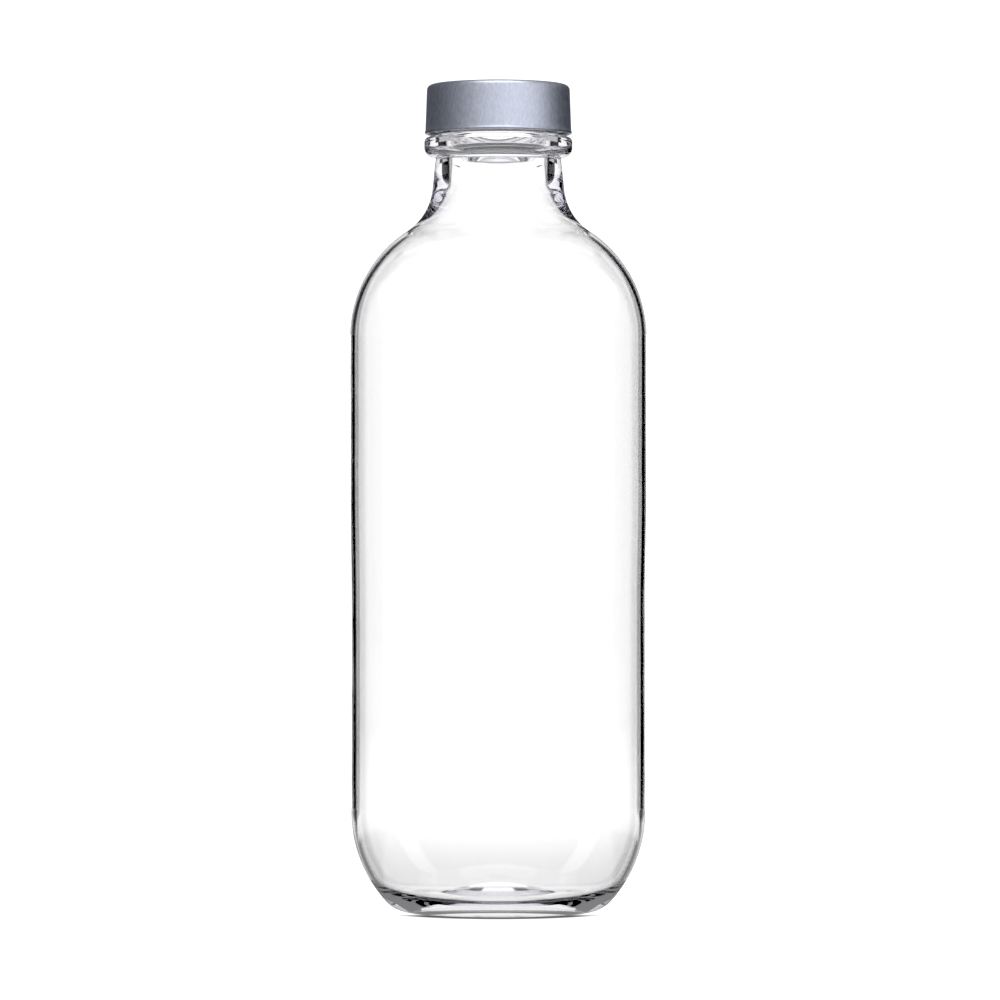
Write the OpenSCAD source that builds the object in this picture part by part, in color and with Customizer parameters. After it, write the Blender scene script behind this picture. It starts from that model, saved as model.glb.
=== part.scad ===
// Glass water bottle with a two-part screw cap.
// A clear round bottle with a long shoulder, a short neck and a neck ring. Its cap is a drawn
// metal shell rolled over a threaded plastic insert, with a flat gasket that seals on the lip.
// Millimetres, +Z up. The origin is on the bottle's axis, at the surface that it stands on.

/* [Bottle body] */
// Height of the glass, from the surface it stands on to the lip
glass_h = 197.4; // [170:0.1:260]
// Diameter of the upper body, below the shoulder
body_d = 71.9; // [60:0.1:90]
// How much narrower the lower body is than the upper body, on the diameter
body_step = 0.6; // [0:0.1:2]
// Height at which the lower body ends and the step in diameter starts
step_z = 75; // [50:1:85]
// Height over which the body widens from the lower to the upper diameter
step_h = 25; // [5:1:25]
// Thickness of the body wall
wall_t = 1.2; // [0.9:0.1:3]
// Radius of the shoulder's curve
shoulder_r = 30.7; // [24:0.1:36]

/* [Base] */
// Radius of the heel's long curve
heel_r = 32.5; // [28:0.5:40]
// Radius of the tight curve between the heel and the standing ring
toe_r = 8; // [4:0.5:10]
// Distance from the lower body's side in to the standing ring's outer edge
ring_inset = 14.2; // [10:0.1:16]
// Width of the flat standing ring
ring_w = 1.6; // [1:0.1:3]
// Radius of the push-up in the middle of the base
punt_r = 14.5; // [10:0.5:17]
// Height of the push-up's rim above the standing surface
punt_lip = 0.4; // [0.2:0.1:1]
// Height of the push-up's middle above the standing surface
punt_h = 2; // [1.5:0.1:4]
// Height of the inner floor above the standing surface
ring_t = 2.4; // [2:0.1:5]
// Thickness of the glass at the middle of the base
base_t = 5; // [3.6:0.1:8]
// Radius of the curve inside, between the heel and the inner floor
inner_toe_r = 12; // [8:0.5:14]

/* [Neck] */
// Diameter of the bore through the neck and the mouth
bore_d = 23.4; // [20:0.1:28]
// Thickness of the glass in the neck, just below the neck ring
neck_wall = 3.45; // [2.5:0.05:4]
// Widening of the neck's side towards the shoulder, in degrees from upright
neck_draft = 6; // [0:0.5:8]
// Length of the neck's side, from the neck ring down to the concave curve
neck_side = 7.9; // [2:0.1:14]
// Radius of the concave curve between the neck and the shoulder
neck_curve_r = 14; // [8:0.5:20]
// Radius of the curve inside, between the bore and the shoulder
bore_curve_r = 25; // [12:0.5:26]

/* [Finish: neck ring, thread and lip] */
// Thickness of the glass between the bore and the foot of the thread
finish_wall = 3; // [2.4:0.1:4]
// How far the neck ring stands out from the finish
bead_out = 3.25; // [2.8:0.05:4]
// Height of the neck ring
bead_h = 4.8; // [3.8:0.1:6]
// Radius of the neck ring's upper edge
bead_top_r = 1.2; // [0.5:0.1:1.2]
// Radius of the neck ring's lower edge
bead_low_r = 2.3; // [1:0.1:2.3]
// Height from the top of the neck ring to the lip
finish_h = 9.6; // [9.4:0.1:11]
// Depth of the glass thread
thread_depth = 1.2; // [0.8:0.05:1.3]
// Rise of the thread in one turn
lead = 4.233; // [3.9:0.001:4.4]
// Length of each thread, in turns
thread_turns = 1.1; // [0.8:0.05:1.2]
// Axial thickness of the threads at their foot, inside the wall that they stand on
thread_foot = 2.6; // [2:0.1:2.8]
// Axial thickness of the threads at the crest
thread_crest = 0.9; // [0.6:0.1:1.2]
// Distance from the lip down to the middle of the thread's upper end
thread_drop = 2; // [1.8:0.1:2.4]
// Radius of the lip's outer and inner edges
lip_r = 0.9; // [0.4:0.1:1.2]

/* [Cap] */
// Thickness of the metal shell
shell_t = 0.4; // [0.3:0.05:0.6]
// Thickness of the insert's wall at its top
insert_wall_t = 0.8; // [0.6:0.05:1.5]
// Widening of the shell's diameter from its top to its rolled edge
shell_draft = 0.72; // [0:0.02:1]
// Radius of the shell's top corner
shell_corner_r = 1.3; // [0.8:0.1:2]
// Gap between the neck ring and the cap's rolled edge
cap_gap = 0.7; // [0.4:0.1:1.5]
// Radius of the rolled edge
curl_r = 0.45; // [0.4:0.05:0.6]
// How far the rolled edge stands out from the shell's side
curl_out = 0.15; // [0.05:0.05:0.2]
// Thickness of the insert's ceiling
insert_top_t = 1.2; // [0.8:0.1:2]
// Clearance between the glass thread's crest and the insert's wall
thread_clear = 0.2; // [0.1:0.05:0.3]
// Clearance between the insert thread's crest and the glass
crest_clear = 0.3; // [0.15:0.05:0.4]
// Clearance between the insert's side and the shell
shell_clear = 0.05; // [0.02:0.01:0.1]
// Clearance between the insert's lower edge and the shell's rolled edge
curl_clear = 0.05; // [0.02:0.01:0.2]

/* [Gasket] */
// Thickness of the gasket
seal_t = 1.5; // [1:0.1:2]
// How far the gasket reaches inside the mouth's bore, on the radius
seal_reach = 0.4; // [0:0.1:1]
// Clearance between the gasket's rim and the insert's wall
seal_clear = 0.5; // [0.3:0.1:1]
// Bevel on the gasket's edges
seal_bevel = 0.2; // [0.1:0.05:0.4]

/* [Hidden] */
$fn = 128;

// Short names for the radii
body_r = body_d / 2;
lower_r = (body_d - body_step) / 2;
bore_r = bore_d / 2;
neck_r = bore_r + neck_wall;
root_r = bore_r + finish_wall;
bead_r = root_r + bead_out;
crest_r = root_r + thread_depth;
ring_r = lower_r - ring_inset;

// Levels of the finish, from the lip down
bead_top_z = glass_h - finish_h;
bead_low_z = bead_top_z - bead_h;

// The concave curve outside the neck rolls on the neck's side, and the shoulder rolls on it
neck_low_z = bead_low_z - neck_side * cos(neck_draft);
neck_low_r = neck_r + neck_side * sin(neck_draft);
curve_x = neck_low_r + neck_curve_r * cos(neck_draft);
curve_z = neck_low_z + neck_curve_r * sin(neck_draft);
shoulder_x = body_r - shoulder_r;
shoulder_z = curve_z - leg(shoulder_r + neck_curve_r, curve_x - shoulder_x);
shoulder_turn = acos((curve_x - shoulder_x) / (shoulder_r + neck_curve_r));

// The curve inside the neck rolls on the bore and on the inner face of the shoulder
in_shoulder_r = shoulder_r - wall_t;
in_curve_x = bore_r + bore_curve_r;
in_curve_z = shoulder_z + leg(in_shoulder_r + bore_curve_r, in_curve_x - shoulder_x);
in_turn = acos((in_curve_x - shoulder_x) / (in_shoulder_r + bore_curve_r));

// The heel rolls on the side of the body and on the toe, which stands on the ring
heel_x = lower_r - heel_r;
heel_z = toe_r + leg(heel_r - toe_r, ring_r - heel_x);
heel_turn = acos((ring_r - heel_x) / (heel_r - toe_r));

// The inner face of the heel follows the outside, and a tighter curve rolls from it to the floor
in_lower_r = lower_r - wall_t;
in_heel_r = heel_r - wall_t;
in_toe_z = ring_t + inner_toe_r;
in_toe_x = heel_x + leg(in_heel_r - inner_toe_r, heel_z - in_toe_z);
in_heel_turn = acos((in_toe_x - heel_x) / (in_heel_r - inner_toe_r));
dome_rise = punt_h + base_t - ring_t;

// Cap levels, from the lip up
seal_z = glass_h;
ceiling_z = seal_z + seal_t;
insert_top_z = ceiling_z + insert_top_t;
shell_top_z = insert_top_z + shell_t;
shell_low_z = bead_top_z + cap_gap;

// Insert radii: the wall clears the glass thread, and its own thread clears the finish
insert_wall_r = crest_r + thread_clear;
insert_crest_r = root_r + crest_clear;
insert_side_r = insert_wall_r + insert_wall_t;

// Shell radii: the shell closes round the insert
shell_top_r = insert_side_r + shell_clear + shell_t;
shell_low_r = shell_top_r + shell_draft / 2;
curl_x = shell_low_r + curl_out - curl_r;
curl_z = shell_low_z + curl_r;
curl_out_a = acos((curl_r - curl_out) / curl_r);
curl_in_a = acos((shell_low_r - shell_t - curl_x) / curl_r);
corner_z = shell_top_z - shell_corner_r;
bend_r = shell_corner_r - shell_t;
skirt_z = curl_z + curl_r + curl_clear;

// Thread helix: both threads rise together, half a turn apart
thread_top_z = glass_h - thread_drop;
thread_low_z = thread_top_z - lead * thread_turns;
thread_sink = 0.5;
end_sink = 0.05;
thread_rings = 72;
thread_fade = 0.12;

// The other leg of a right triangle
function leg(long, short) = sqrt(long * long - short * short);

// Points on an arc about (x, z) from angle a to angle b
function arc(x, z, r, a, b, steps = 8) =
    [for (i = [0 : steps]) let (t = a + (b - a) * i / steps) [x + r * cos(t), z + r * sin(t)]];

// Height of a shallow dome of rim radius w and height h, at radius x: an arc of a circle
function dome(x, w, h) =
    let (big = (w * w + h * h) / (2 * h)) leg(big, x) - (big - h);

// How deep the thread stands at the share t of its length: it fades in and out at its ends
function fade(t) = sin(90 * min(1, min(t, 1 - t) / thread_fade));

// A thread swept along the helix. It stands from a wall of radius foot to a crest of radius
// crest, and its section runs on into the wall, inwards or outwards of it.
module thread(foot, crest, start_a) {
    side = sign(crest - foot);
    sunk_r = foot - side * thread_sink;
    sunk_w = thread_foot / 2;
    narrowing = (sunk_w - thread_crest / 2) / abs(crest - sunk_r);
    points = [for (i = [0 : thread_rings]) let (
        t = i / thread_rings,
        a = start_a + 360 * thread_turns * t,
        z = thread_low_z + lead * thread_turns * t,
        depth = (abs(crest - foot) + end_sink) * fade(t) - end_sink,
        top_r = foot + side * depth,
        top_w = sunk_w - narrowing * (depth + thread_sink)
    ) for (p = [[sunk_r, -sunk_w], [top_r, -top_w], [top_r, top_w], [sunk_r, sunk_w]])
        [p[0] * cos(a), p[0] * sin(a), z + p[1]]];
    last = thread_rings * 4;
    faces = concat(
        [[0, 1, 2, 3], [last + 3, last + 2, last + 1, last]],
        [for (i = [0 : thread_rings - 1], j = [0 : 3], h = [0, 1]) let (
            a = i * 4 + j,
            b = i * 4 + (j + 1) % 4
        ) h == 0 ? [a, a + 4, b + 4] : [a, b + 4, b]]
    );
    polyhedron(points, side < 0 ? faces : [for (f = faces) [for (k = [len(f) - 1 : -1 : 0]) f[k]]]);
}

// The bottle's outline, from the middle of the push-up round the outside and down the inside
module bottle_outline() {
    polygon(concat(
        [for (i = [0 : 8]) let (x = punt_r * i / 8)
            [x, punt_lip + dome(x, punt_r, punt_h - punt_lip)]],
        [[ring_r - ring_w, 0]],
        arc(ring_r, toe_r, toe_r, -90, -heel_turn, 5),
        arc(heel_x, heel_z, heel_r, -heel_turn * 0.9, 0, 9),
        [[lower_r, step_z], [body_r, step_z + step_h]],
        arc(shoulder_x, shoulder_z, shoulder_r, 0, shoulder_turn, 12),
        arc(curve_x, curve_z, neck_curve_r, 180 + shoulder_turn * 0.9, 180 + neck_draft, 9),
        [[neck_r, bead_low_z]],
        arc(bead_r - bead_low_r, bead_low_z + bead_low_r, bead_low_r, -90, 0, 6),
        arc(bead_r - bead_top_r, bead_top_z - bead_top_r, bead_top_r, 0, 90, 5),
        [[root_r, bead_top_z]],
        arc(root_r - lip_r, glass_h - lip_r, lip_r, 0, 90, 5),
        arc(bore_r + lip_r, glass_h - lip_r, lip_r, 90, 180, 5),
        arc(in_curve_x, in_curve_z, bore_curve_r, 180, 180 + in_turn, 9),
        arc(shoulder_x, shoulder_z, in_shoulder_r, in_turn * 0.92, 0, 11),
        [[body_r - wall_t, step_z + step_h], [in_lower_r, step_z]],
        arc(heel_x, heel_z, in_heel_r, 0, -in_heel_turn * 0.9, 9),
        arc(in_toe_x, in_toe_z, inner_toe_r, -in_heel_turn, -90, 6),
        [for (i = [0 : 8]) let (x = punt_r * (1 - i / 8)) [x, ring_t + dome(x, punt_r, dome_rise)]]
    ));
}

module glass_bottle() {
    color([0.90, 0.94, 0.95, 0.45]) union() {
        rotate_extrude() bottle_outline();
        thread(root_r, crest_r, 0);
    }
}

// The cap's cover: a drawn shell with a rounded top corner and a rolled lower edge
module cap_shell() {
    color([0.74, 0.76, 0.79]) rotate_extrude() polygon(concat(
        [[0, shell_top_z]],
        arc(shell_top_r - shell_corner_r, corner_z, shell_corner_r, 90, 0, 6),
        arc(curl_x, curl_z, curl_r, curl_out_a, -360 + curl_in_a, 16),
        arc(shell_top_r - shell_corner_r, corner_z, bend_r, 0, 90, 5),
        [[0, shell_top_z - shell_t]]
    ));
}

// The insert: a plain cup inside the shell with the cap's thread on its wall
module cap_insert() {
    slope = (shell_draft / 2) / (corner_z - curl_z);
    low_r = insert_side_r + slope * (corner_z - skirt_z);
    top_bend_r = bend_r + shell_clear;
    color([0.93, 0.93, 0.92]) union() {
        rotate_extrude() polygon(concat(
            [[0, ceiling_z], [insert_wall_r, ceiling_z], [insert_wall_r, skirt_z], [low_r, skirt_z]],
            arc(insert_side_r - top_bend_r, insert_top_z - top_bend_r, top_bend_r, 0, 90, 5),
            [[0, insert_top_z]]
        ));
        thread(insert_wall_r, insert_crest_r, 180);
    }
}

// The gasket: a flat ring with bevelled edges, on the lip
module seal_ring() {
    inner_r = bore_r - seal_reach;
    outer_r = insert_wall_r - seal_clear;
    b = seal_bevel;
    color([0.82, 0.84, 0.84]) rotate_extrude() polygon([
        [inner_r, seal_z + b],
        [inner_r + b, seal_z],
        [outer_r - b, seal_z],
        [outer_r, seal_z + b],
        [outer_r, ceiling_z - b],
        [outer_r - b, ceiling_z],
        [inner_r + b, ceiling_z],
        [inner_r, ceiling_z - b]
    ]);
}

glass_bottle();
cap_shell();
cap_insert();
seal_ring();
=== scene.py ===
# %% [markdown]
# # A glass water bottle with a satin metal cap
# The bottle is one piece of clear soda-lime glass, blown in a mould. Its cap is a thin drawn metal
# shell over a threaded plastic insert, with a flat gasket that seals on the lip. Clear glass has no
# look of its own: what the eye sees is the room bent and mirrored by it. So this lesson spends
# as much care on the lighting as on the meshes.

# %% Load the frame
import bmesh
import bpy
from math import acos, atan, cos, degrees, pi, radians, sin, sqrt
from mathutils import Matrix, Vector


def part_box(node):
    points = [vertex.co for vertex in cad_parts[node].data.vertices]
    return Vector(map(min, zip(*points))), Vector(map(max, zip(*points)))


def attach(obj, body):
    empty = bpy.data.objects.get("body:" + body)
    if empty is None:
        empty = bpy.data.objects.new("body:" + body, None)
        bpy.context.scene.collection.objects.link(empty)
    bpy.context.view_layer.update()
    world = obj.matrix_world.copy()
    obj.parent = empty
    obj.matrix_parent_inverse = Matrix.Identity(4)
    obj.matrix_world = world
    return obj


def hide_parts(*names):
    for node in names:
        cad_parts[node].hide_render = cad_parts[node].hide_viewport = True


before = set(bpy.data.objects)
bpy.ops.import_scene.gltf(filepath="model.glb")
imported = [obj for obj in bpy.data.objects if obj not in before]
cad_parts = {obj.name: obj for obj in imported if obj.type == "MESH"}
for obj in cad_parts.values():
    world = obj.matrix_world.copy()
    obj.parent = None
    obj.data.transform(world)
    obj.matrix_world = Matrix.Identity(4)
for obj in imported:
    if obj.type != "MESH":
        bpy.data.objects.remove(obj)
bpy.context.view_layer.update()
MM = 0.001


# %% [markdown]
# ## Where things are
# The design gives each piece's box. The levels of the lip, the gasket and the cap come from these
# boxes, so the fine meshes below sit where the plain ones did.

# %% Read the levels from the design, in millimetres
def box_mm(node):
    low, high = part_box(node)
    return low / MM, high / MM


glass_high = box_mm("glass_bottle")[1]
shell_low, shell_high = box_mm("cap_shell")
insert_high = box_mm("cap_insert")[1]
seal_low, seal_high = box_mm("seal_ring")
glass_h = glass_high.z
body_r = glass_high.x
print("glass height %.1f, body radius %.2f mm" % (glass_h, body_r))


# %% [markdown]
# ## Outlines
# Every piece here is round, so each starts as half of its cross-section: a chain of points in the
# plane y = 0. Straight runs and arcs that meet smoothly are what a mould maker turns on a lathe,
# and glass shows every corner that isn't smooth. A helper for each keeps the outlines short.

# %% Helpers for outlines
def leg(long, short):
    """The other leg of a right triangle."""
    return sqrt(long * long - short * short)


def arc(x, z, r, start, end, steps):
    """Points on an arc about (x, z), angles in degrees."""
    turns = [radians(start + (end - start) * i / steps) for i in range(steps + 1)]
    return [(x + r * cos(t), z + r * sin(t)) for t in turns]


def run(a, b, steps):
    """Points on a straight run, without its ends."""
    shares = [i / steps for i in range(1, steps)]
    return [(a[0] + (b[0] - a[0]) * s, a[1] + (b[1] - a[1]) * s) for s in shares]


# %% [markdown]
# ## From an outline to a turned piece
# Spin sweeps the outline once round the axis and merges the last copy onto the first. The points
# that lie on the axis are merged afterwards, which closes the poles, and only then are the normals
# made to face outwards.

# %% Spin an outline into a mesh
def turned(outline, steps, closed=False):
    bm = bmesh.new()
    verts = [bm.verts.new((x * MM, 0, z * MM)) for x, z in outline]
    edges = [bm.edges.new(pair) for pair in zip(verts, verts[1:])]
    if closed:
        edges.append(bm.edges.new((verts[-1], verts[0])))
    bmesh.ops.spin(bm, geom=verts + edges, cent=(0, 0, 0), axis=(0, 0, 1), dvec=(0, 0, 0),
                   angle=2 * pi, steps=steps, use_merge=True, use_duplicate=False)
    bmesh.ops.remove_doubles(bm, verts=bm.verts, dist=1e-6)
    bmesh.ops.dissolve_degenerate(bm, edges=bm.edges, dist=1e-7)
    bmesh.ops.recalc_face_normals(bm, faces=bm.faces)
    return bm


def as_object(name, bm, smooth=True):
    mesh = bpy.data.meshes.new(name)
    bm.to_mesh(mesh)
    bm.free()
    for face in mesh.polygons:
        face.use_smooth = smooth
    obj = bpy.data.objects.new(name, mesh)
    bpy.context.scene.collection.objects.link(obj)
    print(name, "has", len(mesh.polygons), "faces")
    return obj


# %% [markdown]
# ## The glass
# The outside copies the mould: a standing ring, a tight toe, a long heel, a straight body, a round
# shoulder, a concave neck and the neck ring. The inside is blown, so it follows the outside at a
# distance: thin in the body, thick in the base and the neck. Both are drawn here as one closed
# outline, because light bends at both faces and a single skin would not look like glass.

# %% The bottle's sizes, in millimetres
wall_t = 1.2
body_step = 0.6
step_z, step_h = 75, 25
lower_r = body_r - body_step / 2
shoulder_r, heel_r, toe_r = 30.7, 32.5, 8
ring_inset, ring_w = 14.2, 1.6
ring_r = lower_r - ring_inset
punt_r, punt_h, punt_lip = 14.5, 2.0, 0.4
ring_t, base_t, inner_toe_r = 2.4, 5.0, 12
bore_r, neck_wall, finish_wall = 11.7, 3.45, 3
neck_draft, neck_side, neck_curve_r, bore_curve_r = 6, 7.9, 14, 25
bead_out, bead_h, bead_top_r, bead_low_r = 3.25, 4.8, 1.2, 2.3
finish_h, lip_r, bead_fillet, finish_fillet = 9.6, 0.9, 0.4, 0.5
print("standing ring %.1f, neck %.1f mm in radius" % (ring_r, bore_r + neck_wall))

# %% The outside of the glass
neck_r = bore_r + neck_wall
root_r = bore_r + finish_wall
bead_r = root_r + bead_out
bead_top_z = glass_h - finish_h
bead_low_z = bead_top_z - bead_h
draft = radians(neck_draft)
curve_x = neck_r + neck_side * sin(draft) + neck_curve_r * cos(draft)
curve_z = bead_low_z - neck_side * cos(draft) + neck_curve_r * sin(draft)
shoulder_x = body_r - shoulder_r
reach = shoulder_r + neck_curve_r
shoulder_z = curve_z - leg(reach, curve_x - shoulder_x)
shoulder_turn = degrees(acos((curve_x - shoulder_x) / reach))
heel_x = lower_r - heel_r
heel_z = toe_r + leg(heel_r - toe_r, ring_r - heel_x)
heel_turn = degrees(acos((ring_r - heel_x) / (heel_r - toe_r)))


def dome(x, rim, rise):
    """Height of a shallow round dome at radius x."""
    big = (rim * rim + rise * rise) / (2 * rise)
    return leg(big, x) - (big - rise)


def outside():
    rise = punt_h - punt_lip
    points = [(punt_r * i / 20, punt_lip + dome(punt_r * i / 20, punt_r, rise)) for i in range(21)]
    points += run(points[-1], (ring_r - ring_w, 0), 6) + [(ring_r - ring_w, 0)]
    points += run(points[-1], (ring_r, 0), 4)
    points += arc(ring_r, toe_r, toe_r, -90, -heel_turn, 14)
    points += arc(heel_x, heel_z, heel_r, -heel_turn, 0, 36)[1:]
    points += run((lower_r, heel_z), (lower_r, step_z), 14)
    points += [(lower_r + body_step / 4 * (1 - cos(pi * i / 12)), step_z + step_h * i / 12)
               for i in range(13)]
    points += run((body_r, step_z + step_h), (body_r, shoulder_z), 10)
    points += arc(shoulder_x, shoulder_z, shoulder_r, 0, shoulder_turn, 34)
    points += arc(curve_x, curve_z, neck_curve_r, 180 + shoulder_turn, 180 + neck_draft, 22)[1:]
    points += run(points[-1], (neck_r, bead_low_z), 8)
    points += arc(neck_r + bead_fillet, bead_low_z - bead_fillet, bead_fillet, 180, 90, 4)
    points += arc(bead_r - bead_low_r, bead_low_z + bead_low_r, bead_low_r, -90, 0, 12)
    points += arc(bead_r - bead_top_r, bead_top_z - bead_top_r, bead_top_r, 0, 90, 10)
    points += arc(root_r + finish_fillet, bead_top_z + finish_fillet, finish_fillet, 270, 180, 5)
    points += run((root_r, bead_top_z + finish_fillet), (root_r, glass_h - lip_r), 44)
    return points


# %% The inside of the glass
in_shoulder_r = shoulder_r - wall_t
in_curve_x = bore_r + bore_curve_r
in_curve_z = shoulder_z + leg(in_shoulder_r + bore_curve_r, in_curve_x - shoulder_x)
in_turn = degrees(acos((in_curve_x - shoulder_x) / (in_shoulder_r + bore_curve_r)))
in_lower_r = lower_r - wall_t
in_heel_r = heel_r - wall_t
in_toe_z = ring_t + inner_toe_r
in_toe_x = heel_x + leg(in_heel_r - inner_toe_r, heel_z - in_toe_z)
in_heel_turn = degrees(acos((in_toe_x - heel_x) / (in_heel_r - inner_toe_r)))
dome_rise = punt_h + base_t - ring_t


def inside():
    points = arc(root_r - lip_r, glass_h - lip_r, lip_r, 0, 90, 8)
    points += arc(bore_r + lip_r, glass_h - lip_r, lip_r, 90, 180, 8)
    points += run((bore_r, glass_h - lip_r), (bore_r, in_curve_z), 14)
    points += arc(in_curve_x, in_curve_z, bore_curve_r, 180, 180 + in_turn, 24)
    points += arc(shoulder_x, shoulder_z, in_shoulder_r, in_turn, 0, 32)[1:]
    points += run((body_r - wall_t, shoulder_z), (body_r - wall_t, step_z + step_h), 10)
    points += [(in_lower_r + body_step / 4 * (1 + cos(pi * i / 12)), step_z + step_h * (1 - i / 12))
               for i in range(13)]
    points += run((in_lower_r, step_z), (in_lower_r, heel_z), 14)
    points += arc(heel_x, heel_z, in_heel_r, 0, -in_heel_turn, 34)
    points += arc(in_toe_x, in_toe_z, inner_toe_r, -in_heel_turn, -90, 16)[1:]
    points += run(points[-1], (punt_r, ring_t), 8)
    points += [(punt_r * (1 - i / 20), ring_t + dome(punt_r * (1 - i / 20), punt_r, dome_rise))
               for i in range(21)]
    return points


# %% [markdown]
# ## Threads
# A continuous thread is a ridge on a helix. It is raised here by moving the fine rows of the turned
# wall outwards (or inwards, for the cap's own thread), so the ridge and the wall stay one skin with
# no seam where light would catch. A raised cosine gives the soft section of a moulded thread, and
# both ends fade into the wall.

# %% Raise a thread on a wall
lead, thread_turns, thread_drop = 4.233, 1.1, 2
thread_depth, thread_clear, crest_clear = 1.2, 0.2, 0.3
thread_half, thread_fade = 1.25, 0.12
thread_top_z = glass_h - thread_drop
thread_low_z = thread_top_z - lead * thread_turns


def ridge(angle, z, start):
    """Height of the ridge from 0 to 1, at an angle in turns and a level in millimetres."""
    best = 0
    for lap in (0, 1):
        along = (angle - start) % 1 + lap
        if along > thread_turns:
            continue
        off = abs(z - thread_low_z - lead * along) / thread_half
        share = along / thread_turns
        fade = sin(pi / 2 * min(1, min(share, 1 - share) / thread_fade))
        best = max(best, fade * (1 + cos(pi * min(1, off))) / 2)
    return best


def raise_thread(bm, wall_r, height, start):
    for v in bm.verts:
        r = v.co.xy.length / MM
        z = v.co.z / MM
        if abs(r - wall_r) > 0.05 or not thread_low_z - 2 < z < thread_top_z + 2:
            continue
        turn = (Vector((1, 0)).angle_signed(v.co.xy) / (-2 * pi)) % 1
        k = (r + height * ridge(turn, z, start)) / r
        v.co.x *= k
        v.co.y *= k


# %% [markdown]
# ## The bottle
# The outside and the inside meet at the lip, so one outline makes the whole skin. Its name, the
# part it rides with and the simple mesh it replaces are given as soon as it exists.

# %% Build the bottle
bottle_mesh = turned(outside() + inside(), 192)
raise_thread(bottle_mesh, root_r, thread_depth, 0)
bottle = as_object("bottle_glass", bottle_mesh)
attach(bottle, "bottle")
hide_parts("glass_bottle")

# %% [markdown]
# ## The cap's shell
# The shell is drawn from thin sheet: a flat top, a soft corner, a side that widens slightly so that
# it leaves the punch, and a lower edge rolled into a small bead that hides the cut.

# %% Build the shell
shell_t, corner_r, curl_r, curl_out, shell_draft = 0.4, 1.3, 0.45, 0.15, 0.72
side_top_r = shell_high.x - curl_out - shell_draft / 2
side_low_r = side_top_r + shell_draft / 2
curl_x = side_low_r + curl_out - curl_r
curl_z = shell_low.z + curl_r
corner_z = shell_high.z - corner_r
bend_r = corner_r - shell_t
curl_start = degrees(acos((curl_r - curl_out) / curl_r))
curl_end = degrees(acos((side_low_r - shell_t - curl_x) / curl_r)) - 360


def shell_outline():
    top = arc(side_top_r - corner_r, corner_z, corner_r, 90, 0, 10)
    roll = arc(curl_x, curl_z, curl_r, curl_start, curl_end, 28)
    bend = arc(side_top_r - corner_r, corner_z, bend_r, 0, 90, 8)
    points = [(0, shell_high.z)] + run((0, shell_high.z), top[0], 12) + top
    points += run(top[-1], roll[0], 12) + roll + run(roll[-1], bend[0], 12) + bend
    return points + run(bend[-1], (0, shell_high.z - shell_t), 12) + [(0, shell_high.z - shell_t)]


shell = as_object("cap_cover", turned(shell_outline(), 160))
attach(shell, "cap")
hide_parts("cap_shell")

# %% [markdown]
# ## The insert
# The insert is moulded polypropylene: a plain cup with the cap's thread inside. Its thread starts
# half a turn from the glass thread, which puts it half a pitch away, so the two pass each other.

# %% Build the insert
ceiling_z = seal_high.z
wall_in_r = root_r + thread_depth + thread_clear
slip, insert_bend, inner_bend, foot_bend = 0.05, 0.95, 0.3, 0.2
insert_side_r = side_top_r - shell_t - slip
insert_low_r = insert_high.x
skirt_z = curl_z + curl_r + slip


def insert_outline():
    bend = arc(insert_side_r - insert_bend, insert_high.z - insert_bend, insert_bend, 0, 90, 8)
    high, low = ceiling_z - inner_bend, skirt_z + foot_bend
    points = [(0, ceiling_z)] + run((0, ceiling_z), (wall_in_r - inner_bend, ceiling_z), 10)
    points += arc(wall_in_r - inner_bend, high, inner_bend, 90, 0, 4)
    points += run((wall_in_r, high), (wall_in_r, low), 44)
    points += arc(wall_in_r + foot_bend, low, foot_bend, 180, 270, 4)
    points += arc(insert_low_r - foot_bend, low, foot_bend, 270, 360, 4)
    points += run(points[-1], bend[0], 8) + bend
    return points + run(bend[-1], (0, insert_high.z), 8) + [(0, insert_high.z)]


insert_mesh = turned(insert_outline(), 160)
raise_thread(insert_mesh, wall_in_r, root_r + crest_clear - wall_in_r, 0.5)
insert = as_object("cap_thread_insert", insert_mesh)
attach(insert, "cap")
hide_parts("cap_insert")

# %% [markdown]
# ## The gasket
# The gasket is a flat silicone ring with soft edges, squeezed between the ceiling and the lip. Its
# outline is a closed loop that never reaches the axis, so it has no poles.

# %% Build the gasket
seal_in_r, seal_round = bore_r - 0.4, 0.25


def seal_outline():
    corners = [(seal_in_r, seal_low.z, 180), (seal_high.x, seal_low.z, 270),
               (seal_high.x, seal_high.z, 0), (seal_in_r, seal_high.z, 90)]
    points = []
    for x, z, start in corners:
        cx = x + seal_round if x < seal_high.x else x - seal_round
        cz = z + seal_round if z < seal_high.z else z - seal_round
        points += arc(cx, cz, seal_round, start, start + 90, 5)
    return points


seal = as_object("gasket", turned(seal_outline(), 128, closed=True))
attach(seal, "seal")
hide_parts("seal_ring")


# %% [markdown]
# ## Materials
# Colours are written as they look on a screen and turned to the linear values that a renderer mixes
# light in. One small function adds a node with its inputs, so that each material below reads as a
# short list. An input is a constant, an output of another node, or a node, whose first output it
# then takes.

# %% Helpers for materials
def linear(hex_colour):
    parts = [int(hex_colour[i:i + 2], 16) / 255 for i in (1, 3, 5)]
    return [c / 12.92 if c <= 0.04045 else ((c + 0.055) / 1.055) ** 2.4 for c in parts] + [1]


def add(tree, kind, inputs=None, **props):
    node = tree.nodes.new("ShaderNode" + kind)
    for name, value in props.items():
        setattr(node, name, value)
    for socket, value in (inputs or {}).items():
        if isinstance(value, bpy.types.Node):
            value = value.outputs[0]
        if isinstance(value, bpy.types.NodeSocket):
            tree.links.new(value, node.inputs[socket])
        else:
            node.inputs[socket].default_value = value
    return node


def new_material(name):
    material = bpy.data.materials.new(name)
    material.use_nodes = True
    material.node_tree.nodes.clear()
    return material, material.node_tree


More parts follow.
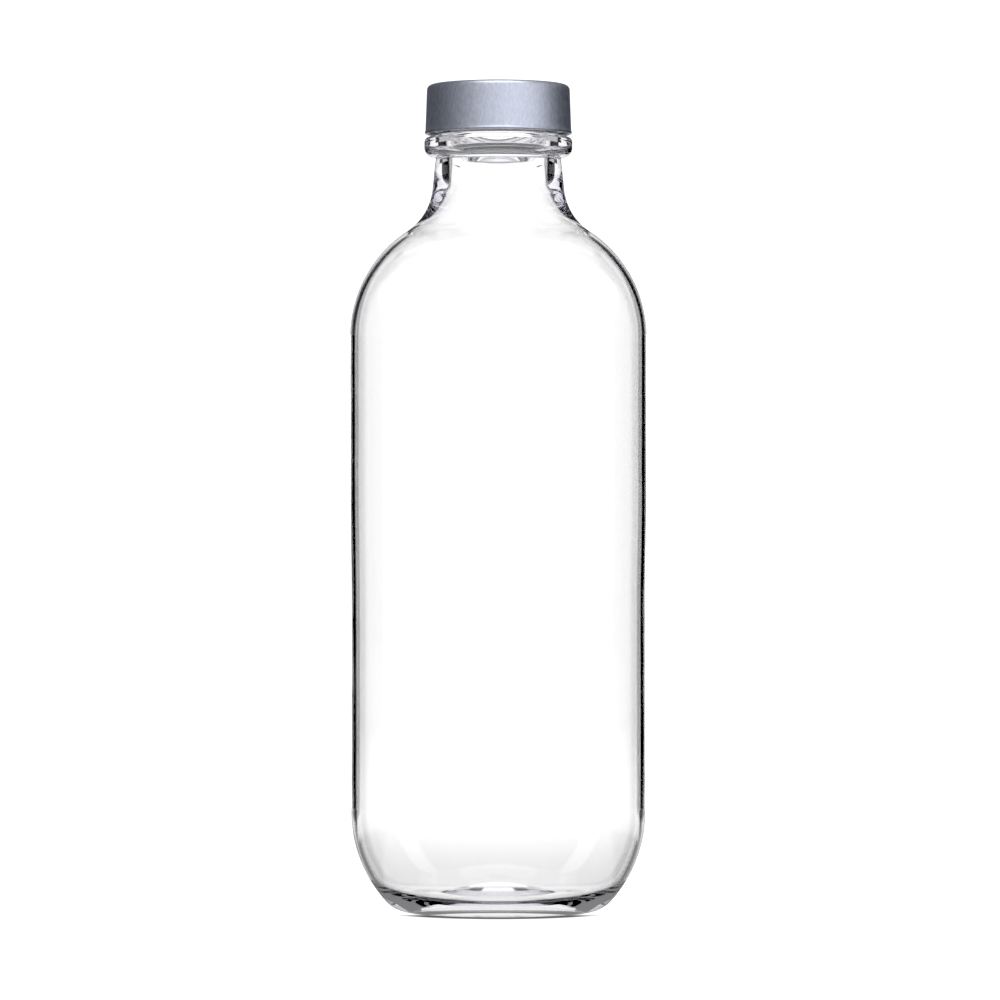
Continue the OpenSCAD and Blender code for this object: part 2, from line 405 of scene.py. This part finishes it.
def wear(obj, material):
    obj.data.materials.clear()
    obj.data.materials.append(material)
    print(obj.name, "wears", material.name)


# %% [markdown]
# ## Glass
# The glass is a solid with two faces, so one clear shader gives both the bending and the bright
# edges. A mould never leaves it quite flat: a bump with a slow noise, in swells about 17 mm wide,
# moves the reflections a little. The tint shows only in depth, at the base and the neck, so it is
# an absorption inside the solid and not a colour on its face.

# %% Soda-lime glass
SWELLS_PER_M = 60


def soda_lime_glass():
    """Blown in a polished mould: clear and glossy, with a faint swell and a cool tint in depth."""
    material, tree = new_material("soda_lime_glass")
    place = add(tree, "TexCoord").outputs["Object"]
    swell = add(tree, "TexNoise", {"Vector": place, "Scale": SWELLS_PER_M, "Detail": 1})
    bump = add(tree, "Bump", {"Height": swell, "Strength": 0.02, "Distance": 0.001})
    glass = add(tree, "BsdfPrincipled", {
        "Base Color": linear("#FFFFFF"),
        "Roughness": 0,
        "IOR": 1.52,
        "Transmission Weight": 1,
        "Normal": bump,
    })
    depth = add(tree, "VolumeAbsorption", {"Color": linear("#E3E0EC"), "Density": 20})
    add(tree, "OutputMaterial", {"Surface": glass, "Volume": depth})
    return material


wear(bottle, soda_lime_glass())


# %% [markdown]
# ## Satin metal
# Blasting leaves tiny pits and anodising seals them under a clear skin. The eye sees a soft sheen
# with a fine mottle, drawn out along the height by the drawing of the sheet. The real pits are far
# finer than an image can show, so the grain here is coarser than real, at 2.2 to the millimetre.
# One noise drives the tone, the roughness and the bump, so that they agree.

# %% Satin aluminium
GRAINS_PER_MM, GRAIN_STRETCH = 2.2, 0.35


def satin_aluminium():
    """Drawn sheet, blasted and clear anodised: a soft grey sheen with a fine mottled grain."""
    material, tree = new_material("satin_anodised_aluminium")
    place = add(tree, "TexCoord").outputs["Object"]
    stretch = add(tree, "Mapping", {"Vector": place, "Scale": (1, 1, GRAIN_STRETCH)})
    grain = add(tree, "TexNoise", {"Vector": stretch, "Scale": GRAINS_PER_MM / MM, "Detail": 4,
                                   "Roughness": 0.7})
    mottle = add(tree, "MapRange", {"Value": grain, "From Min": 0.3, "From Max": 0.7})
    tone = add(tree, "Mix", {0: mottle, 6: linear("#BDC1CB"), 7: linear("#DDE0E8")},
               data_type="RGBA")
    rough = add(tree, "MapRange", {"Value": mottle, "To Min": 0.28, "To Max": 0.45})
    bump = add(tree, "Bump", {"Height": grain, "Strength": 0.3, "Distance": 0.0001})
    metal = add(tree, "BsdfPrincipled", {
        "Base Color": tone.outputs[2],
        "Metallic": 1,
        "Roughness": rough,
        "Normal": bump,
    })
    add(tree, "OutputMaterial", {"Surface": metal})
    return material


wear(shell, satin_aluminium())


# %% [markdown]
# ## Moulded polymers
# Polypropylene and silicone both leave the mould with a very fine grain, which breaks up the sheen.
# It is drawn at 0.4 and 0.25 mm, coarser than real, so that it shows. Light enters both a little
# way before it returns, which softens their shadows, so both have some subsurface scatter.

# %% Polypropylene and silicone
def moulded(name, colour, roughness, grain_mm):
    """A moulded polymer: a soft sheen over a very fine grain."""
    material, tree = new_material(name)
    place = add(tree, "TexCoord").outputs["Object"]
    grain = add(tree, "TexNoise", {"Vector": place, "Scale": 1 / (grain_mm * MM)})
    bump = add(tree, "Bump", {"Height": grain, "Strength": 0.2, "Distance": 0.0001})
    resin = add(tree, "BsdfPrincipled", {
        "Base Color": linear(colour),
        "Roughness": roughness,
        "IOR": 1.49,
        "Subsurface Weight": 0.2,
        "Subsurface Scale": 0.002,
        "Normal": bump,
    })
    add(tree, "OutputMaterial", {"Surface": resin})
    return material


wear(insert, moulded("moulded_polypropylene", "#F2F2F0", 0.35, 0.4))
wear(seal, moulded("silicone_gasket", "#DDE2E2", 0.55, 0.25))


# %% [markdown]
# ## The set
# Clear glass is lit from behind, with a bright field as wide as the view and dark flags just out of
# it. The field shines straight through the middle of the bottle. Near its edges the glass bends the
# view outwards onto the flags, which draws the dark lines that give the bottle its shape.
# In a studio, cards are moved in and out until every edge reads well. Here the walls of the set
# are shown to different kinds of ray: seen straight, bent by the glass, or mirrored. So the flags
# can stand round the bottle without hiding the white floor and wall from the camera. From other
# sides the bottle still shows the flags, as grey shapes inside the glass.

# %% Helpers for the set
def seen_by(obj, camera=False, glossy=False, transmission=False, diffuse=False):
    """Which kinds of ray a piece of the set shows itself to. None of them casts a shadow."""
    obj.visible_camera = camera
    obj.visible_glossy = glossy
    obj.visible_transmission = transmission
    obj.visible_diffuse = diffuse
    obj.visible_shadow = False


def stage_piece(name, bm, material, smooth=True):
    obj = as_object(name, bm, smooth)
    wear(obj, material)
    return obj


def stage_ring(name, radius, low, high, start, end, material, steps):
    """Part of an upright wall about the axis, from one angle to another in degrees."""
    bm = bmesh.new()
    a = radians(start)
    verts = [bm.verts.new((radius * cos(a), radius * sin(a), z)) for z in (low, high)]
    bmesh.ops.spin(bm, geom=verts + [bm.edges.new(verts)], cent=(0, 0, 0), axis=(0, 0, 1),
                   dvec=(0, 0, 0), angle=radians(end - start), steps=steps, use_duplicate=False)
    return stage_piece(name, bm, material)


def stage_disc(name, radius, z, material):
    bm = bmesh.new()
    bmesh.ops.create_circle(bm, cap_ends=True, segments=96, radius=radius)
    bmesh.ops.translate(bm, verts=bm.verts, vec=(0, 0, z))
    return stage_piece(name, bm, material, smooth=False)


def stage_ball(name, radius, segments, rings, material):
    bm = bmesh.new()
    bmesh.ops.create_uvsphere(bm, u_segments=segments, v_segments=rings, radius=radius)
    return stage_piece(name, bm, material)


def glowing(name, strength, colour="#FFFFFF"):
    """A card that only glows. Its strength is a number, or a function that builds it with nodes."""
    material, tree = new_material(name)
    light = add(tree, "Emission", {
        "Color": linear(colour),
        "Strength": strength(tree) if callable(strength) else strength,
    })
    add(tree, "OutputMaterial", {"Surface": light})
    return material


# %% [markdown]
# ## Sizes and angles of the set
# Angles are measured from straight behind the bottle. The body bends light less than the thick
# glass of the neck, so the white gap between the flags is narrow for the body and wide for the
# neck, where a small collar close to the glass takes the place of the flags.

# %% Sizes in metres, angles in degrees
FIELD = 1.22
BACK_R, WALL_TOP, FLAG_R, FLAG_TOP, ROOM_R = 3.0, 1.4, 0.5, 0.7, 1.0
COLLAR_R, COLLAR_Z, COLLAR_TOP, SHOULDER_Z = 0.06, 0.187, 0.35, 0.15
MIRROR_TOP, SKIRT_Z = 0.16, 0.05
BODY_GAP, NECK_GAP, SIDE_GAP, GAP_SOFT = 15.5, 40, 10, 1.5
BODY_END, NECK_END, END_SOFT, FRONT_START, FRONT_END = 28, 66, 6, 60, 90
SKIRT_TURN, FRONT_TURN, SKIRT_EDGE = 16, 10, 0.01
BODY_GLOW, BODY_FRONT_GLOW, NECK_GLOW, NECK_FRONT_GLOW = 0.45, 0.08, 0.6, 1
SOFT = {"interpolation_type": "SMOOTHSTEP"}
TIMES, MOST, LESS = {"operation": "MULTIPLY"}, {"operation": "MAXIMUM"}, {"operation": "SUBTRACT"}
print("white gap: body %.1f, neck %.1f degrees each side" % (BODY_GAP, NECK_GAP))


# %% Where a point of the set is
def around(tree):
    """Distance from the axis, cosines to the back and to the nearer side, and height."""
    place = add(tree, "TexCoord").outputs["Object"]
    flat = add(tree, "VectorMath", {0: place, 1: (1, 1, 0)}, operation="MULTIPLY")
    radius = add(tree, "VectorMath", {0: flat}, operation="LENGTH").outputs["Value"]
    way = add(tree, "SeparateXYZ", {0: add(tree, "VectorMath", {0: flat}, operation="NORMALIZE")})
    side = add(tree, "Math", {0: way.outputs["X"]}, operation="ABSOLUTE")
    height = add(tree, "SeparateXYZ", {0: place}).outputs["Z"]
    return {"radius": radius, "back": way.outputs["Y"], "side": side, "height": height}


def white_gap(tree, cosine, half_angle):
    """White within half_angle of a direction, with soft edges."""
    return add(tree, "MapRange", {"Value": cosine,
                                  "From Min": cos(radians(half_angle + GAP_SOFT)),
                                  "From Max": cos(radians(half_angle - GAP_SOFT))}, **SOFT)


def turned_past(tree, back, start, end, high=1):
    """From 0 up to high, as the direction turns from start to end away from the back."""
    return add(tree, "MapRange", {"Value": back, "From Min": cos(radians(start)),
                                  "From Max": cos(radians(end)), "To Max": high}, **SOFT)


# %% [markdown]
# ## The flags
# Going round from the back, the bent view meets a white gap, a black flag, a dim surround and then
# the front of the room. Low down the flags open again, because the heel needs the light.

# %% The flags' patterns
def flags_beside(tree, back, half_angle, end, surround, front):
    """White within half_angle, black up to end, then a dim surround and the room's front."""
    gap = white_gap(tree, back, half_angle)
    dim = turned_past(tree, back, end, end + END_SOFT, surround)
    room = turned_past(tree, back, FRONT_START, FRONT_END, front - surround)
    return add(tree, "Math", {0: add(tree, "Math", {0: gap, 1: dim}), 1: room})


def body_flags(tree):
    at = around(tree)
    back, height = at["back"], at["height"]
    flags = flags_beside(tree, back, BODY_GAP, BODY_END, BODY_GLOW, BODY_FRONT_GLOW)
    below = add(tree, "MapRange", {"Value": height, "From Min": SKIRT_Z, "From Max": 0}, **SOFT)
    beyond = turned_past(tree, back, BODY_END, BODY_END + SKIRT_TURN)
    skirt = add(tree, "Math", {0: below, 1: beyond}, **TIMES)
    near_floor = add(tree, "MapRange", {"Value": height, "From Min": SKIRT_Z + SKIRT_EDGE,
                                        "From Max": SKIRT_Z - SKIRT_EDGE}, **SOFT)
    in_front = turned_past(tree, back, FRONT_END - FRONT_TURN, FRONT_END + FRONT_TURN)
    low_front = add(tree, "Math", {0: near_floor, 1: in_front}, **TIMES)
    low = add(tree, "Math", {0: skirt, 1: low_front}, **MOST)
    sides = add(tree, "Math", {0: white_gap(tree, at["side"], SIDE_GAP), 1: low}, **MOST)
    pattern = add(tree, "Math", {0: flags, 1: sides}, **MOST)
    return add(tree, "Math", {0: pattern, 1: FIELD}, **TIMES)


def neck_flags(tree):
    flags = flags_beside(tree, around(tree)["back"], NECK_GAP, NECK_END, NECK_GLOW,
                         NECK_FRONT_GLOW)
    return add(tree, "Math", {0: flags, 1: FIELD}, **TIMES)


def mirrored_gap(tree):
    """What the glass mirrors at its edges: the white gap between black flags."""
    gap = white_gap(tree, around(tree)["back"], BODY_GAP)
    return add(tree, "Math", {0: gap, 1: FIELD}, **TIMES)


# %% [markdown]
# ## The floor
# Seen straight, the floor is white, with a thin dark line in front where the standing ring touches
# it. The line is a painted contact shadow: a floor that only glows can show no real shadow, so the
# shade is drawn into its glow.
# Bent by the base, the floor is white along a strip that widens towards the back and dark to both
# sides of it, which draws the heel. Its glow also dims towards the bottle, a painted shade around
# the foot.

# %% The floor's patterns
STRIP_START, STRIP_SPREAD, STRIP_MOST, STRIP_SOFT = 0.02, 0.37, 0.13, 0.008
STRIP_END, STRIP_TURN, AWAY_FROM, AWAY_TO = 34, 4, 0.1, 0.16
NEAR, FAR, NEAR_GLOW, SHADE_GLOW, SHADE_NEAR, FRONT_COS = 0.05, 0.4, 0.9, 0.25, 0.1, 0.1
LINE_OUT_MM, CONTACT_SHADOW_GLOW, LINE_HALF, LINE_FADE = 1.5, 0.12, 0.0025, 0.0065
LINE_FRONT_COS, LINE_SIDE_COS = -0.75, -0.35


def bent_floor(tree):
    at = around(tree)
    radius, back = at["radius"], at["back"]
    # Painted shade: the glow drops from FIELD far out to NEAR_GLOW close to the bottle.
    level = add(tree, "MapRange", {"Value": radius, "From Min": NEAR, "From Max": FAR,
                                   "To Min": NEAR_GLOW, "To Max": FIELD}, **SOFT)
    spread = add(tree, "Math", {0: radius, 1: STRIP_SPREAD}, **TIMES)
    wide = add(tree, "Math", {0: spread, 1: STRIP_START})
    half_strip = add(tree, "Math", {0: wide, 1: STRIP_MOST}, operation="MINIMUM")
    off = add(tree, "Math", {0: radius, 1: at["side"]}, **TIMES)
    strip = add(tree, "MapRange", {"Value": add(tree, "Math", {0: off, 1: half_strip}, **LESS),
                                   "From Min": STRIP_SOFT, "From Max": -STRIP_SOFT}, **SOFT)
    away = add(tree, "MapRange", {"Value": radius, "From Min": AWAY_FROM,
                                  "From Max": AWAY_TO}, **SOFT)
    aside = turned_past(tree, back, STRIP_END, STRIP_END + STRIP_TURN)
    beyond = add(tree, "Math", {0: aside, 1: away}, **TIMES)
    front = add(tree, "MapRange", {"Value": back, "From Min": FRONT_COS,
                                   "From Max": -FRONT_COS}, **SOFT)
    dark = add(tree, "MapRange", {"Value": radius, "From Min": SHADE_NEAR, "From Max": FAR,
                                  "To Min": SHADE_GLOW, "To Max": 0}, **SOFT)
    behind = add(tree, "Math", {0: strip, 1: beyond}, **MOST)
    rest = add(tree, "Math", {0: front, 1: dark}, **MOST)
    pattern = add(tree, "Math", {0: behind, 1: rest}, **MOST)
    return add(tree, "Math", {0: level, 1: pattern}, **TIMES)


def floor_with_painted_shadow(tree):
    at = around(tree)
    # Painted contact shadow: a dark ring just outside the standing ring, kept to the front.
    from_line = add(tree, "Math", {0: at["radius"], 1: (ring_r + LINE_OUT_MM) * MM}, **LESS)
    off = add(tree, "Math", {0: from_line}, operation="ABSOLUTE")
    contact_shadow = add(tree, "MapRange", {"Value": off, "From Min": LINE_HALF, "From Max": LINE_FADE,
                                  "To Min": CONTACT_SHADOW_GLOW}, **SOFT)
    behind = add(tree, "MapRange", {"Value": at["back"], "From Min": LINE_FRONT_COS,
                                    "From Max": LINE_SIDE_COS}, **SOFT)
    pattern = add(tree, "Math", {0: contact_shadow, 1: behind}, **MOST)
    return add(tree, "Math", {0: pattern, 1: FIELD}, **TIMES)


# %% [markdown]
# ## The room that the metal mirrors
# Satin metal is the opposite of glass: it needs one broad soft light that fades slowly, or its
# sides turn flat. The room is a glowing ball, brightest towards a key light at the front right, and
# a dark card on the right makes that side of the cap fall away faster than the left.

# %% The room's pattern
KEY_AZIMUTH, KEY_RISE, CARD_AZIMUTH = 26, 12, 122
ROOM_LOW, ROOM_HIGH, ROOM_FALL, CARD_GLOW = 0.15, 1.3, 2.5, 0.4


def toward(azimuth, rise):
    """Unit vector to a place around the bottle. Azimuth 0 is in front and grows to the right."""
    a, e = radians(azimuth), radians(rise)
    return Vector((sin(a) * cos(e), -cos(a) * cos(e), sin(e)))


def soft_room(tree):
    place = add(tree, "TexCoord").outputs["Object"]
    way = add(tree, "VectorMath", {0: place}, operation="NORMALIZE")
    to_key = add(tree, "VectorMath", {0: way, 1: toward(KEY_AZIMUTH, KEY_RISE)},
                 operation="DOT_PRODUCT").outputs["Value"]
    share = add(tree, "MapRange", {"Value": to_key, "From Min": -1, "From Max": 1})
    fall = add(tree, "Math", {0: share, 1: ROOM_FALL}, operation="POWER")
    power = add(tree, "MapRange", {"Value": fall, "To Min": ROOM_LOW, "To Max": ROOM_HIGH})
    to_card = add(tree, "VectorMath", {0: way, 1: toward(CARD_AZIMUTH, 0)},
                  operation="DOT_PRODUCT").outputs["Value"]
    card = add(tree, "MapRange", {"Value": to_card, "From Min": 0.5, "From Max": 0.95,
                                  "To Min": 1, "To Max": CARD_GLOW}, **SOFT)
    return add(tree, "Math", {0: power, 1: card}, **TIMES)


# %% [markdown]
# ## Put up the set
# The floors lie a hair's breadth apart, so that no two of them fight for the same ray. The world
# itself is almost black: all the light comes from the set.

# %% Floors, walls and flags
field = glowing("bright_field", FIELD)
# The floor seen straight carries the painted contact shadow.
seen_by(stage_disc("studio_floor", BACK_R, -0.00002, glowing("floor_with_painted_shadow", floor_with_painted_shadow)),
        camera=True, diffuse=True)
seen_by(stage_disc("bent_floor", BACK_R, -0.00001, glowing("bent_floor", bent_floor)),
        transmission=True)
seen_by(stage_disc("mirrored_floor", BACK_R, 0, glowing("mirrored_floor", 0.25)), glossy=True)
seen_by(stage_ring("studio_wall", BACK_R, 0, WALL_TOP, 0, 360, field, 96), camera=True,
        transmission=True, diffuse=True)
seen_by(stage_ring("flags", FLAG_R, 0, FLAG_TOP, 0, 360, glowing("flags", body_flags), 180),
        transmission=True)
seen_by(stage_ball("bright_top", BACK_R + 0.5, 48, 24, field), transmission=True)
seen_by(stage_ring("neck_collar", COLLAR_R, COLLAR_Z, COLLAR_TOP, 0, 360,
                   glowing("neck_collar", neck_flags), 120), transmission=True)
seen_by(stage_ring("front_collar", COLLAR_R, SHOULDER_Z, COLLAR_Z, 190, 350, field, 60),
        transmission=True)
seen_by(stage_ring("back_flags", FLAG_R, 0, MIRROR_TOP, 10, 170,
                   glowing("back_flags", mirrored_gap), 90), glossy=True)
seen_by(stage_ball("soft_room", ROOM_R, 64, 32, glowing("soft_room", soft_room, "#F4F7FF")),
        glossy=True)

# %% World and overhead light
DIM = 0.002
world = bpy.data.worlds.new("studio")
world.use_nodes = True
world.node_tree.nodes["Background"].inputs["Color"].default_value = (DIM, DIM, DIM, 1)
bpy.context.scene.world = world

OVERHEAD_SIZE, OVERHEAD_AWAY, OVERHEAD_WATTS = 0.6, 0.7, 2
overhead = bpy.data.lights.new("overhead", "AREA")
overhead.shape = "RECTANGLE"
overhead.size = overhead.size_y = OVERHEAD_SIZE
overhead.energy = OVERHEAD_WATTS
box = bpy.data.objects.new("overhead", overhead)
lip = Vector((0, 0, glass_h * MM))
box.location = lip + toward(10, 75) * OVERHEAD_AWAY
box.rotation_euler = (lip - box.location).to_track_quat("-Z", "Y").to_euler()
box.visible_camera = False
box.visible_transmission = False
bpy.context.scene.collection.objects.link(box)
print("overhead light at", tuple(round(c, 3) for c in box.location))

# %% [markdown]
# ## Camera
# A long lens well over a metre away keeps the sides of the bottle almost parallel. It is level and
# just below the middle of the bottle, so it looks slightly up at the cap and slightly down at the
# base. The frame is shifted up, which keeps the uprights straight.

# %% Place the camera
CAMERA_DISTANCE = 1.3
VIEW_WIDTH = 0.2427
eye_z, frame_z = 0.09, 0.0998
lens = bpy.data.cameras.new("camera")
lens.angle = 2 * atan(VIEW_WIDTH / 2 / CAMERA_DISTANCE)
lens.clip_start, lens.clip_end = 0.05, 20
camera = bpy.data.objects.new("camera", lens)
lens.shift_y = (frame_z - eye_z) / VIEW_WIDTH
camera.location = (0.0004, -CAMERA_DISTANCE, eye_z)
camera.rotation_euler = (pi / 2, 0, 0)
bpy.context.scene.collection.objects.link(camera)
bpy.context.scene.camera = camera
print("camera %.1f m away, %.3f m up" % (CAMERA_DISTANCE, eye_z))

# %% [markdown]
# ## Light paths and tone
# A view through the bottle crosses four faces of glass, and total reflection in the base adds many
# more, so the paths are long. The black level is raised a little above zero, which gives the
# dark lines their depth without touching the white.

# %% Light paths and tone
BLACK = 0.03
scene = bpy.context.scene
scene.cycles.max_bounces = 32
scene.cycles.transmission_bounces = 24
scene.cycles.glossy_bounces = 12
scene.cycles.use_denoising = True
scene.view_settings.view_transform = "Standard"
scene.view_settings.look = "None"
scene.view_settings.use_curve_mapping = True
scene.view_settings.curve_mapping.black_level = (BLACK, BLACK, BLACK)
scene.view_settings.curve_mapping.update()
print("up to", scene.cycles.max_bounces, "bounces")
